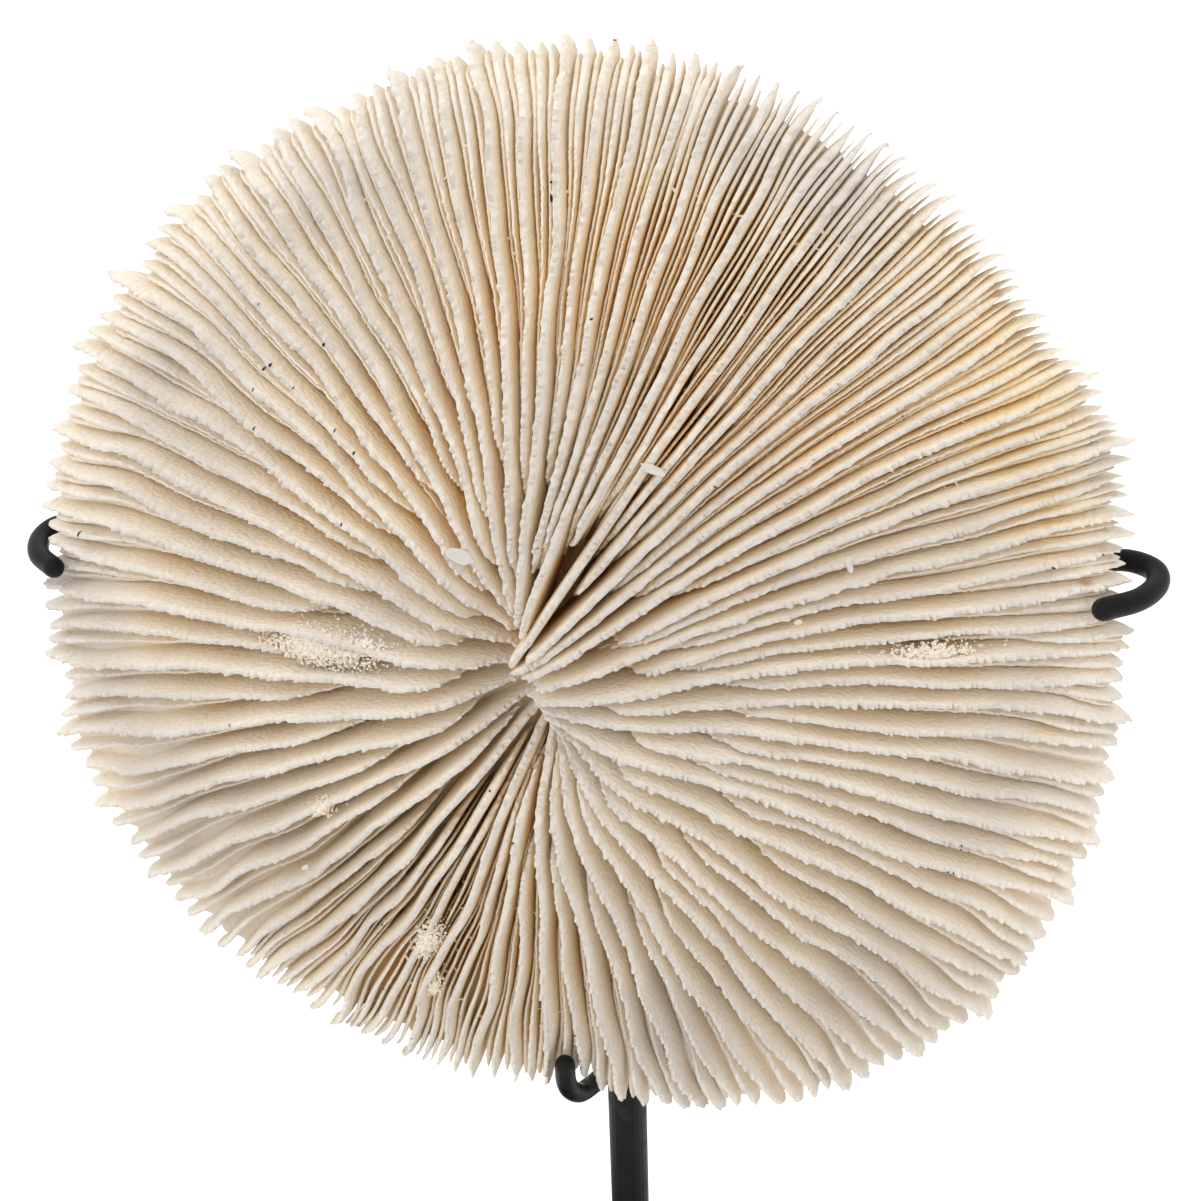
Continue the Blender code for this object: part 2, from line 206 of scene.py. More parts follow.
def face_place(angle, reach):
    """The u and v of a place on the face; the plates start along the slit of the mouth."""
    inner = np.clip(1 - reach, 0.0, None)
    towards = math.radians(MOUTH_DIRECTION_DEG)
    centring = 1 - np.abs(reach) ** MOUTH_CENTRING
    along = MOUTH_HALF_LENGTH * inner ** MOUTH_FADE * np.cos(angle - towards)
    out = reach * rim_radius(angle)
    u = MOUTH_RIGHT * centring + out * np.cos(angle) + along * math.cos(towards)
    v = MOUTH_UP * centring + out * np.sin(angle) + along * math.sin(towards)
    return np.stack([u + sway(SWAY_RIGHT, angle, reach), v + sway(SWAY_UP, angle, reach)], axis=-1)


LEAN = math.radians(FACE_LEAN_DEG)
FACE_AXES = np.array([
    [1.0, 0.0, 0.0],
    [0.0, math.sin(LEAN), math.cos(LEAN)],
    [0.0, -math.cos(LEAN), math.sin(LEAN)],
])


def to_world(points):
    """From the coral's own axes in millimetres to the world's in metres."""
    return np.asarray(points) @ FACE_AXES * MM + np.array(CENTRE)


print("dome height at half reach, mm:", round(float(dome_height(0.0, 0.5)), 1))

# %% [markdown]
# One helper turns arrays of points and faces into an object, and can store numbers on the points.
# Each plate stores a number that grows with how far a point lies below its edge: the material turns
# it from cream to brown, partly for dust and age and partly as painted shade down in the gaps.

# %% From arrays to an object


def add_object(name, points, faces, numbers=None, smooth_deg=50):
    """A mesh object from arrays; numbers maps a name to one value a point."""
    mesh = bpy.data.meshes.new(name)
    mesh.from_pydata(points.tolist(), [], faces)
    for key, values in (numbers or {}).items():
        layer = mesh.attributes.new(key, "FLOAT", "POINT")
        layer.data.foreach_set("value", np.asarray(values, dtype=np.float32))
    mesh.shade_smooth()
    mesh.set_sharp_from_angle(angle=math.radians(smooth_deg))
    made = bpy.data.objects.new(name, mesh)
    bpy.context.scene.collection.objects.link(made)
    return made


def triangle_count(thing):
    """How many triangles a mesh has."""
    return sum(len(face.vertices) - 2 for face in thing.data.polygons)


def rings_to_faces(count, size, first):
    """Faces of a closed tube of rings, each ring of the same size, with both ends closed."""
    here = first + np.arange(count - 1)[:, None] * size + np.arange(size)[None, :]
    beside = first + np.arange(count - 1)[:, None] * size + (np.arange(size)[None, :] + 1) % size
    quads = np.stack([here, here + size, beside + size, beside], axis=-1).reshape(-1, 4).tolist()
    start = list(range(first, first + size))
    end = list(range(first + (count - 1) * size, first + count * size))
    return quads + [start, end[::-1]]


# %% [markdown]
# Eighty-eight plates set the pattern: forty-four broad ones, and forty-four slimmer ones between
# them. They stand closer together on the right side. Each wanders a little on its way to the rim,
# as the living animal shifted it. The wandering is a sum of slow waves, so two plates come close
# here and leave a lens-shaped gap there. At the upper right they run straighter.

# %% Main plates: where they run
MAIN_PLATES = 88
SEED = 7
TIP_LONG = 1.012
TIP_SHORT = 0.992
TIP_UNEVENNESS = 0.010
WANDER_DEG = 0.8
CROWDED_TOWARDS_DEG = 15.0
CROWDING = ((1, 0.13), (2, 0.03))
CALM_TOWARDS_DEG = 50.0
CALM_SHARE = 0.55


def main_angles():
    """The angle of each main plate, and of none twice."""
    even = 2 * math.pi * np.arange(MAIN_PLATES) / MAIN_PLATES
    angle = even
    for _ in range(20):
        off = angle - math.radians(CROWDED_TOWARDS_DEG)
        angle = even - sum(share * np.sin(count * off) for count, share in CROWDING)
    return angle


MAIN_ANGLE = main_angles()
tip_dice = random.Random(SEED)
main_phase = []
main_tip = []
for index in range(MAIN_PLATES):
    main_phase.append(0.55 * index + tip_dice.uniform(-0.8, 0.8))
    usual = TIP_LONG if index % 2 == 0 else TIP_SHORT
    main_tip.append(usual + tip_dice.uniform(-TIP_UNEVENNESS, TIP_UNEVENNESS))

wave_dice = random.Random(SEED + 1)
SIDE_WAVES = ((0.40, 9.0), (0.36, 17.0), (0.10, 33.0))
main_waves = []
for index in range(MAIN_PLATES):
    waves = []
    for amount, quickness in SIDE_WAVES:
        waves.append((amount * wave_dice.uniform(0.5, 1.4), quickness * wave_dice.uniform(0.8, 1.2),
                      wave_dice.uniform(0, 2 * math.pi)))
    main_waves.append(waves)


def main_angle(index, reach):
    """The angle of one main plate at each reach; index may run past the last plate."""
    turns, one = divmod(index, MAIN_PLATES)
    fade = reach * (1 - reach ** 4)
    wander = WANDER_DEG * np.sin(main_phase[one] + 5.0 * reach) * fade
    for amount, quickness, phase in main_waves[one]:
        wander = wander + amount * np.sin(quickness * reach + phase) * smooth_step(0.10, 0.4, reach)
    calm = 1 - CALM_SHARE * max(0.0, math.cos(MAIN_ANGLE[one] - math.radians(CALM_TOWARDS_DEG)))
    return MAIN_ANGLE[one] + 2 * math.pi * turns + np.radians(wander * calm)


print("main plates:", MAIN_PLATES)

# %% [markdown]
# Between two main plates stand three low ones: one in the middle, and two younger ones that branch
# off from it. The older a plate is, the nearer to the mouth it starts. This table of ages drives
# everything: thickness, height, teeth, and how finely a plate is cut. Only every second broad plate
# reaches the slit of the mouth. Three on the right reach over it like tongues.
#
# The coral isn't the same all round. At the left and the lower right the main plates overlap like
# roof tiles and hide the low ones, so there the low ones lie deep. At the upper right the low
# plates start early, and one looks straight down between them. There, and at the lower left, all
# plates run out to the rim in thin spikes. The new low plates come up to full height near the rim.

# %% The ages of plates
EARLY_POWER = 0.8
# How much of the painted shade is held back just under the edge, for thick and thin plates
THICK_PALE_EDGE = 0.75
THIN_PALE_EDGE = 0.35
SHORT_BROAD_STARTS = (0.045, 0.135)
TONGUES = ((58.0, -0.085), (36.0, -0.060), (14.0, -0.030))
TILED = (
    (0, 0.75), (18, 0.3), (35, 0.0), (140, 0.0), (165, 0.8), (185, 1.0), (222, 1.0), (242, 0.25), (262, 0.1),
    (276, 0.7), (295, 1.0), (345, 1.0), (360, 0.75),
)
EARLY_LOBES = ((254.0, 17.0, 1.0), (138.0, 30.0, 0.75))
SPIKY = (
    (0, 0.4), (14, 1.0), (52, 1.0), (78, 0.2), (95, 0.0), (222, 0.0), (240, 0.8), (264, 0.8), (282, 0.2),
    (300, 0.0), (340, 0.0), (360, 0.4),
)


def by_direction(table, angle):
    """A value that changes with the direction, read from (degrees, value) pairs."""
    directions, values = zip(*table)
    return np.interp(np.degrees(angle) % 360, directions, values)


def lobe(angle, towards, half_width):
    """1 in one direction, falling to 0 on both sides of it."""
    away = (np.degrees(angle) - towards + 180) % 360 - 180
    return np.exp(-((away / half_width) ** 2))


class Age:
    """What all plates of one age have in common; lengths in millimetres, starts as reaches."""

    def __init__(self, name, thick, widens, starts, earlier, rise, sink, low, grown, tips, teeth, rows,
                 pitch):
        self.name = name
        self.thick = thick
        self.widens = widens
        self.starts = starts
        self.earlier, self.early_towards = earlier
        self.rise, self.roundness = rise
        self.sink = sink
        self.low, self.tiled_low = low
        self.grown = grown
        self.pale_edge = THICK_PALE_EDGE if thick > 1 else THIN_PALE_EDGE
        self.tips = tips
        self.tooth_length, self.tooth_height = teeth
        self.rows = rows
        self.pitch = pitch

    def start(self, angle, dice):
        """Where a plate starts; on some sides of the coral the plates start earlier."""
        towards = max(0.0, math.cos(angle - math.radians(self.early_towards))) ** EARLY_POWER
        if self.name != "broad":
            towards = max([towards] + [share * lobe(angle, at, half) for at, half, share in EARLY_LOBES])
        return dice.uniform(*self.starts) - self.earlier * towards


# A row of a plate's cross-section: depth under the edge, share of the full thickness
BROAD_ROWS = ((0.15, 0.42), (0.8, 0.62), (2.6, 0.84), (6.0, 1.0))
SLIM_ROWS = ((0.15, 0.50), (1.0, 0.78), (4.0, 1.0))
LOW_ROWS = ((0.20, 0.72), (2.2, 1.0))
YOUNG_ROWS = ((0.20, 0.95),)

# starts: reach at the mouth's end; earlier: by how much in one direction, and that direction;
# rise: its length and roundness; low: depth between the tall plates, and the same where they are
# tiled; grown: reach of full height; teeth: length, height; pitch: distance between two rings
BROAD = Age(
    "broad", thick=1.50, widens=0.12, starts=(-0.012, 0.004), earlier=(0.040, 10.0), rise=(0.034, 2.8),
    sink=0.0, low=(0.0, 0.0), grown=0.90, tips=(1.0, 1.0), teeth=(0.95, 0.78), rows=BROAD_ROWS, pitch=0.31,
)
SLIM = Age(
    "slim", thick=1.15, widens=0.45, starts=(0.18, 0.36), earlier=(0.20, 50.0), rise=(0.17, 1.5),
    sink=0.30, low=(0.03, 0.01), grown=0.90, tips=(1.0, 1.0), teeth=(0.90, 0.72), rows=SLIM_ROWS, pitch=0.34,
)
LOW = Age(
    "low", thick=0.52, widens=1.20, starts=(0.30, 0.46), earlier=(0.23, 50.0), rise=(0.12, 1.6),
    sink=0.5, low=(0.22, 0.42), grown=0.93, tips=(0.975, 1.0), teeth=(0.85, 0.42), rows=LOW_ROWS, pitch=0.40,
)
YOUNG = Age(
    "young", thick=0.38, widens=0.90, starts=(0.46, 0.66), earlier=(0.24, 50.0), rise=(0.12, 1.5),
    sink=0.6, low=(0.30, 0.72), grown=1.0, tips=(0.945, 0.98), teeth=(0.75, 0.26), rows=YOUNG_ROWS, pitch=0.4,
)
print("ages:", [age.name for age in (BROAD, SLIM, LOW, YOUNG)])

# %% [markdown]
# The free edge of a plate is a row of worn teeth, a little less than a millimetre apart. Each
# tooth has its own width, height and lean to one side, which makes the edge look torn rather than
# machined. The teeth ride on lobes several millimetres long, which rise slowly and end in a step.

# %% Teeth and lobes of an edge
LOBE_LENGTH = 7.0
LOBE_LEAN = 0.26
LOBE_SIZES = (0.1, 0.9)
LOBE_STEP_FROM = 0.86
LOBE_SUNK = 0.25
TOOTH_LEAN = 0.20
TOOTH_TALLEST = 1.5
TOOTH_SKEW = 1.3
TOOTH_BLUNT = 0.8
TOOTH_SUNK = 0.3
LENGTH_SPREAD = (0.55, 1.5)


def bumps(run, length, dice):
    """Which bump each place on the edge belongs to, and how far along it that place lies."""
    ends = [-dice.uniform(0, length)]
    while ends[-1] < run[-1] + 1:
        ends.append(ends[-1] + length * dice.uniform(*LENGTH_SPREAD))
    ends = np.array(ends)
    which = np.clip(np.searchsorted(ends, run, side="right") - 1, 0, len(ends) - 2)
    return which, (run - ends[which]) / (ends[which + 1] - ends[which]), len(ends)


def edge_detail(run, age, dice):
    """How far the edge stands out at each place along it, and how far it leans to a side."""
    tooth, part, count = bumps(run, age.tooth_length, dice)
    high = np.array([dice.uniform(0.0, TOOTH_TALLEST) for _ in range(count)])[tooth]
    lean = np.array([dice.uniform(-1, 1) for _ in range(count)])[tooth]
    round_top = np.sin(math.pi * np.clip(part, 0, 1) ** TOOTH_SKEW) ** TOOTH_BLUNT
    lobe, along, count = bumps(run, LOBE_LENGTH, dice)
    size = np.array([dice.choice((-1, 1)) * dice.uniform(*LOBE_SIZES) for _ in range(count)])[lobe]
    bend = np.array([dice.uniform(-1, 1) for _ in range(count)])[lobe]
    ramp = np.where(size > 0, along, 1 - along)
    step = np.abs(size) * ramp ** TOOTH_SKEW * smooth_step(1.0, LOBE_STEP_FROM, ramp) - LOBE_SUNK
    stiff = (age.thick / BROAD.thick) ** 1.5
    aside = TOOTH_LEAN * lean * round_top + LOBE_LEAN * bend * np.sin(math.pi * np.clip(along, 0, 1))
    out = age.tooth_height * (high * round_top - TOOTH_SUNK) + step * (0.2 + 0.8 * stiff)
    return out, aside * stiff


# %% [markdown]
# A plate is a closed sheet of stone. It is built like a loft: at each step from the mouth to the
# rim stands one ring of points, up one side of the plate, over its edge and down the other side,
# and the rings are joined. Across, a plate is thin at its toothed edge and swells further down.
# Its lower edge follows the hollow back, where it shows as a rib. Past the coral's wall both edges
# run together into a blade, blunt on the upper side of the coral and pointed on the lower side.

# %% One plate as rings
WALL_REACH = 0.915
TILED_WALL = 0.068
SHORTEST_BLADE = 0.02
RIB_HEIGHT = 0.75
FLOOR_THICKNESS = 2.0
EDGE_HALF = 0.17
BLUNT_LENGTH = 0.040
SHORT_RISE = 3.2
# FLANK_BELOW paints the flanks lighter than the edges, and from PALE_FROM to PALE_FULL the edges near the rim
# as well: painted light
FLANK_BELOW = 1.15
PALE_FROM = 0.78
PALE_FULL = 0.97
STRETCH_FROM = 0.75
GROW_LENGTH = 0.24
TILED_GROW_LENGTH = 0.10
WIDENS_FROM = 0.6
START_THIN = 0.55
TIP_THIN = 0.45
SPIKE_THIN = 0.15
TIP_LENGTH = 1.8
SPIKE_LENGTH = 6.3
TEETH_FADE = 0.3
LEAN_FADE = 1.6
SAMPLES = 900

# Where black specks sit on the edges: direction, reach, spread, share of the edge's steps
SPECKS = (
    (335.0, 0.740, 3.5, 0.15), (326.0, 0.650, 2.0, 0.15), (310.5, 0.820, 1.0, 0.70),
    (316.0, 0.790, 2.0, 0.14), (306.0, 0.755, 1.5, 0.14), (143.5, 0.595, 8.0, 0.016),
    (139.5, 0.430, 7.0, 0.012), (91.0, 0.690, 1.2, 0.20), (14.0, 0.900, 4.0, 0.02),
)
SPECK_ANYWHERE = 0.0007


def speck_shares(middle):
    """Share of an edge's steps that carry a black speck, at each place along it."""
    total = np.full(len(middle), SPECK_ANYWHERE)
    for direction, reach, spread, share in SPECKS:
        centre = face_place(np.array([math.radians(direction)]), np.array([reach]))[0]
        away = np.linalg.norm(middle - centre, axis=1)
        total = total + share * np.exp(-((away / spread) ** 2))
    return total


# How brown the gaps are painted in each direction: partly age and dust, partly painted shade in the deep gaps
GAP_SHADE_AND_AGE = (
    (0, 0.42), (20, 0.85), (38, 1.30), (65, 1.25), (90, 0.75), (110, 0.85), (128, 0.90), (150, 0.55),
    (168, 0.32), (195, 0.18), (215, 0.12), (235, 0.35), (250, 0.85), (262, 0.80), (280, 0.28),
    (300, 0.18), (335, 0.18), (350, 0.30), (360, 0.42),
)
# Near the rim the gaps are painted paler: painted light
RIM_PAINTED_LIGHT = 0.80


def gap_shade_and_age(angle, reach):
    """How brown the gaps are painted in each direction, partly for age and dust and partly as painted shade;
    near the rim they are painted paler, as painted light.
    """
    pale_from = 0.66 + 0.16 * lobe(angle, 254.0, 16.0)
    paler = RIM_PAINTED_LIGHT * smooth_step(pale_from, pale_from + 0.24, reach)
    return by_direction(GAP_SHADE_AND_AGE, angle) * (1 - paler)


def floor_height(reach):
    """Height of the wall's inner surface, the floor of the gaps; it rises towards the mouth."""
    rise = MOUTH_FLOOR_HEIGHT - back_height(0.0) - FLOOR_THICKNESS
    return back_height(reach) + FLOOR_THICKNESS + rise * np.exp(-((reach / DIP_REACH) ** 2))


def wall_reach(angle):
    """Where the wall ends; it runs further out where the plates overlap like tiles."""
    return WALL_REACH + TILED_WALL * by_direction(TILED, angle)


def edge_line(age, angle, reach, start, rise, tip, sink, blunt, grown):
    """Height of the smooth edge of a plate, before its teeth."""
    floor = floor_height(reach)
    stretch = 1 + (tip - 1) * smooth_step(STRETCH_FROM, 1.0, reach)
    dome = dome_height(angle, np.minimum(reach / stretch, 1.0))
    tiled = by_direction(TILED, angle)
    growing = GROW_LENGTH + (TILED_GROW_LENGTH - GROW_LENGTH) * tiled
    fade = np.clip((grown - reach) / growing, 0, 1)
    low = age.low + (age.tiled_low - age.low) * tiled
    high = dome - (sink + low * (dome - floor)) * fade * fade * (3 - 2 * fade)
    part = np.clip((reach - start) / rise, 0, 1)
    lift = (1 - (1 - part) ** age.roundness) ** (1 / age.roundness)
    end = np.clip((reach - tip + BLUNT_LENGTH) / BLUNT_LENGTH, 0, 1)
    knee = np.interp(tip - BLUNT_LENGTH, reach, high)
    rounded = knee * np.sqrt(1 - end ** 2)
    high = high + (rounded - high) * blunt * (end > 0)
    return np.maximum(floor + (high - floor) * lift, floor - 0.5)


def plate_rings(age, angle_at, start, rise, tip, sink, blunt, grown, dice):
    """Points of one plate as an array (steps, ring, 3), and the numbers that its material needs."""
    spread = 0.5 - 0.5 * np.cos(math.pi * np.linspace(0, 1, SAMPLES))
    dense = start + (tip - start) * spread
    place = face_place(angle_at(dense), dense)
    height = edge_line(age, angle_at(dense), dense, start, rise, tip, sink, blunt, grown)
    run = np.concatenate([[0.0], np.cumsum(np.linalg.norm(np.diff(place, axis=0), axis=1))])
    weight = np.where(dense < start + rise * 0.5, 0.4, 1.0)[1:]
    pieces = np.hypot(np.diff(run), np.diff(height))
    cost = np.concatenate([[0.0], np.cumsum(pieces * weight)])
    chosen = np.interp(np.linspace(0, cost[-1], int(cost[-1] / age.pitch) + 2), cost, np.arange(SAMPLES))
    index = np.arange(SAMPLES)
    reach, run, height = (np.interp(chosen, index, line) for line in (dense, run, height))
    middle = face_place(angle_at(reach), reach)
    along = np.gradient(middle, axis=0)
    along /= np.maximum(np.linalg.norm(along, axis=1, keepdims=True), 1e-6)
    aside = np.stack([-along[:, 1], along[:, 0]], axis=1)
    slope = np.stack([np.gradient(run), np.gradient(height)], axis=1)
    slope /= np.maximum(np.linalg.norm(slope, axis=1, keepdims=True), 1e-6)
    edge_run = np.concatenate([[0.0], np.cumsum(np.hypot(np.diff(run), np.diff(height)))])
    out, lean = edge_detail(edge_run, age, dice)
    wall_end = np.minimum(wall_reach(angle_at(reach)), tip - SHORTEST_BLADE)
    outer = np.clip((reach - wall_end) / (tip - wall_end), 0, 1)
    out = out * (1 - 0.5 * outer)
    rib = RIB_HEIGHT * (0.35 + 0.65 * age.thick / BROAD.thick) * smooth_step(0.25, 0.85, reach)
    bottom = (back_height(reach) - rib) * (1 - outer ** 2) - 0.12 * outer
    deep = np.maximum(height - bottom, 0.3)
    half = age.thick / 2 * (START_THIN + (1 - START_THIN) * smooth_step(0, 60 * rise, run))
    half = half * (1 + age.widens * smooth_step(WIDENS_FROM, 1.0, reach))
    spiky = by_direction(SPIKY, angle_at(reach[-1:]))[0]
    thin_end = TIP_THIN + (SPIKE_THIN - TIP_THIN) * spiky
    taper = TIP_LENGTH + (SPIKE_LENGTH - TIP_LENGTH) * spiky
    half = half * (thin_end + (1 - thin_end) * smooth_step(0, taper, run[-1] - run))
    sides = [(np.zeros_like(reach), np.minimum(EDGE_HALF, half * 0.5), 1.0, 1.0)]
    for number, (down, width) in enumerate(age.rows):
        drop = np.minimum(down, deep * (number + 1) / (len(age.rows) + 2))
        sides.append((drop, half * width, math.exp(-down / TEETH_FADE), math.exp(-down / LEAN_FADE)))
    sides.append((deep, half * 0.9, 0.0, 0.0))
    speck = np.array([dice.random() for _ in reach]) < speck_shares(middle)
    left, right, depth, black = [], [], [], []
    dome = dome_height(angle_at(reach), np.minimum(reach, 1.0))
    brown = gap_shade_and_age(angle_at(reach), reach)
    for drop, width, follow, shift in sides:
        shifted = middle + along * (-slope[:, 1] * out * follow)[:, None]
        level = np.maximum(height - drop + slope[:, 0] * out * follow, bottom)
        for rows, sign in ((left, 1), (right, -1)):
            flat = shifted + aside * (sign * width + lean * shift)[:, None]
            rows.append(np.column_stack([flat, level]))
        # The number for the material: painted shade that grows with the depth under the dome, held back just
        # under the edge, plus the flank's share, which paints the flank lighter than the edge as painted
        # light; near the rim the edge gets that share too.
        from_edge = 1 - np.exp(-drop / 0.4)
        under = np.maximum(dome - level, 0) * brown
        pale = FLANK_BELOW * np.maximum(from_edge, smooth_step(PALE_FROM, PALE_FULL, reach))
        depth.append(under * (1 - age.pale_edge * (1 - from_edge)) + pale)
        black.append(speck * (drop < 0.3))
    points = np.stack(left[::-1] + right, axis=1)
    clean = [np.zeros_like(reach)] * len(black)
    numbers = {"below_edge": np.stack(depth[::-1] + depth, axis=1), "speck": np.stack(clean + black, axis=1)}
    return points, numbers


# %% [markdown]
# Plates of one age become one mesh or two. A low plate's path is a share of the way between its
# two main neighbours, so that it never crosses them. A young plate leaves the low plate beside it
# like the prong of a fork. Where the main plates overlap like tiles there are no young ones.

# %% Build the plates of every age


def main_path(index):
    """The path of a main plate."""
    return lambda reach: main_angle(index, reach)


def between_path(index, share, start, own, phase):
    """The path of a low plate between two main plates; share 0.5 is the middle."""
    def angle_at(reach):
        left = main_angle(index, reach)
        right = main_angle(index + 1, reach)
        room = np.maximum((right - left) * reach * RIM_RADIUS, 1.2)
        halves = (BROAD.thick / 2, SLIM.thick / 2)
        near = halves[index % 2] / room * 0.8
        far = halves[(index + 1) % 2] / room * 0.8
        fork = smooth_step(start, start + 0.10, reach) if share != 0.5 else 1.0
        part = 0.5 + (share - 0.5) * fork + own * np.sin(16 * reach + phase)
        return left + (right - left) * (near + (1 - near - far) * part)

    return angle_at


TILED_TIP = 0.012
HIDDEN_FROM = 0.9
SPIKY_TIP = 0.012
TIP_BLUNTNESS = (
    (0, 0.6), (15, 0.1), (50, 0.0), (75, 0.6), (100, 0.95), (215, 1.0), (238, 0.2), (266, 0.1), (290, 0.8),
    (345, 1.0), (360, 0.6),
)


def bluntness(angle, dice):
    """How blunt a plate's tip is: 0 is pointed, 1 is round."""
    return np.clip(by_direction(TIP_BLUNTNESS, angle) + dice.uniform(-0.25, 0.25), 0, 1)


tongue_starts = {}
for direction, start in TONGUES:
    away = np.abs((np.degrees(MAIN_ANGLE[::2]) - direction + 180) % 360 - 180)
    tongue_starts[int(np.argmin(away)) * 2] = start


def plates_of(age):
    """Path, start, rise, tip, sink, bluntness and full-grown reach of every plate of one age."""
    dice = random.Random(SEED + len(age.name) * 10 + int(age.thick * 100))
    listed = []
    if age in (BROAD, SLIM):
        for index in range(0 if age is BROAD else 1, MAIN_PLATES, 2):
            start = age.start(MAIN_ANGLE[index], dice)
            rise = age.rise
            if index % 4 == 2 and index not in tongue_starts:
                start = dice.uniform(*SHORT_BROAD_STARTS)
                rise = age.rise * SHORT_RISE
            start = tongue_starts.get(index, start)
            listed.append((main_path(index), start, rise, main_tip[index], MAIN_ANGLE[index]))
    else:
        shares = (0.5,) if age is LOW else (0.22, 0.78)
        for index in range(MAIN_PLATES):
            for share in shares:
                start = age.start(MAIN_ANGLE[index], dice)
                path = between_path(index, share, start, 0.02, dice.uniform(0, 6.3))
                tiled = by_direction(TILED, MAIN_ANGLE[index])
                if age is YOUNG and tiled > HIDDEN_FROM:
                    continue
                tip = dice.uniform(*age.tips) + TILED_TIP * tiled
                tip += SPIKY_TIP * by_direction(SPIKY, MAIN_ANGLE[index])
                listed.append((path, start, age.rise, tip, MAIN_ANGLE[index]))
    full = []
    for path, start, rise, tip, angle in listed:
        sink = age.sink + dice.uniform(-0.3, 0.35)
        grown = age.grown + (1.0 - age.grown) * by_direction(TILED, angle) * dice.choice((0.0, 1.0))
        full.append((path, start, rise, tip, sink, bluntness(angle, dice), grown))
    return full, dice


def build_plates(age, parts=1):
    """One or more mesh objects with all plates of an age."""
    listed, dice = plates_of(age)
    made = []
    for part in range(parts):
        points, faces, first = [], [], 0
        numbers = {"below_edge": [], "speck": []}
        for plate in listed[part * len(listed) // parts:(part + 1) * len(listed) // parts]:
            rings, values = plate_rings(age, *plate, dice)
            points.append(rings.reshape(-1, 3))
            for key, column in values.items():
                numbers[key].append(column.reshape(-1))
            faces += rings_to_faces(rings.shape[0], rings.shape[1], first)
            first += rings.shape[0] * rings.shape[1]
        name = "septa_" + age.name + ("_" + "ab"[part] if parts > 1 else "")
        numbers = {key: np.concatenate(columns) for key, columns in numbers.items()}
        made.append(add_object(name, to_world(np.concatenate(points)), faces, numbers))
        print(name, "plates:", len(listed) // parts, "triangles:", triangle_count(made[-1]))
    return made


coral_pieces = []
for age, parts in ((BROAD, 2), (SLIM, 1), (LOW, 2), (YOUNG, 1)):
    coral_pieces += build_plates(age, parts)

# %% [markdown]
# Behind the plates lies the wall: a shallow bowl of stone that closes the gaps from below and is
# the hollow back of the coral. It is a grid of rings on both sides, joined at the rim.

# %% The wall
WALL_COLUMNS = 600
WALL_STEPS = 16
WALL_TORN = 0.005


def build_wall():
    """The bowl-shaped wall as one closed mesh."""
    angles = np.linspace(0, 2 * math.pi, WALL_COLUMNS, endpoint=False)
    shares = np.linspace(0.0, 1.0, WALL_STEPS)
    dice = np.random.default_rng(SEED)
    torn = wall_reach(angles) + dice.normal(0, WALL_TORN, WALL_COLUMNS)
    rings = []
    deep = []
    for share in shares:
        reach = share * torn
        grain = dice.normal(0, 0.12, WALL_COLUMNS)
        rim = smooth_step(0.85, 1.0, share)
        height = floor_height(reach) - 0.9 * rim + grain
        rings.append(np.column_stack([face_place(angles, reach), height]))
        # Painted shade and age on the floor of the gaps, painted paler towards the rim as painted light, plus
        # the flank's share
        deep.append(12.0 * gap_shade_and_age(angles, reach + 0.03) * (1 - 0.6 * rim) + FLANK_BELOW)
    for share in shares[::-1]:
        reach = share * torn
        grain = dice.normal(0, 0.10, WALL_COLUMNS)
        rings.append(np.column_stack([face_place(angles, reach), back_height(reach) + grain]))
        deep.append(np.full(WALL_COLUMNS, 1.5))
    points = np.concatenate(rings)
    faces = rings_to_faces(len(rings), WALL_COLUMNS, 0)
    return add_object("coral_wall", to_world(points), faces, {"below_edge": np.concatenate(deep)})


wall = build_wall()
coral_pieces.append(wall)
print("wall triangles:", triangle_count(wall))

# %% [markdown]
# Small bars of stone tie the low plates together, down in the gaps. They show at the upper right and
# at the bottom, where one looks straight down between the plates.

# %% Bars between the plates
BARS = 420
BAR_HALF = 0.16
BARS_ABOVE = (18.0, 125.0)
BARS_BELOW = (240.0, 268.0)
SHARE_ABOVE = 0.8


def build_bars():
    """Short stubs of stone between neighbouring plates, as one mesh."""
    dice = random.Random(SEED + 2)
    points, faces, deep = [], [], []
    for _ in range(BARS):
        side = BARS_BELOW if dice.random() > SHARE_ABOVE else BARS_ABOVE
        towards = math.radians(dice.uniform(*side))
        index = int(np.argmin(np.abs(MAIN_ANGLE - towards)))
        reach = dice.uniform(0.25, 0.80)
        share = dice.choice((0.11, 0.36, 0.64, 0.89))
        level = dice.uniform(0.30, 0.62)
        thick = dice.uniform(0.7, 1.6) * BAR_HALF
        shift = dice.uniform(-0.6, 0.6)
        steps = np.linspace(-0.15, 0.15, 4)
        paths = [between_path(index, share + step, 0.0, 0.0, 0.0) for step in steps]
        angle = np.array([path(np.array(reach)) for path in paths])
        place = face_place(angle, np.full(4, reach) + steps * shift / RIM_RADIUS * 4)
        floor = float(floor_height(reach))
        height = floor + level * (dome_height(angle, reach) - floor)
        for number in range(4):
            for corner in range(6):
                turn = math.pi * corner / 3
                swell = thick * (1.5 if number in (0, 3) else 1.0) * dice.uniform(0.8, 1.2)
                inward = math.cos(angle[number]), math.sin(angle[number])
                points.append((place[number][0] + inward[0] * swell * math.cos(turn),
                               place[number][1] + inward[1] * swell * math.cos(turn),
                               height[number] + swell * math.sin(turn)))
                # Lower bars get a larger number and are painted browner: partly age and dust, partly painted
                # shade deep in the gaps
                deep.append(0.25 * (1 - level) * float(dome_height(angle[number], reach) - floor))
        faces += rings_to_faces(4, 6, len(points) - 24)
    return add_object("stone_bars", to_world(points), faces, {"below_edge": np.array(deep)})


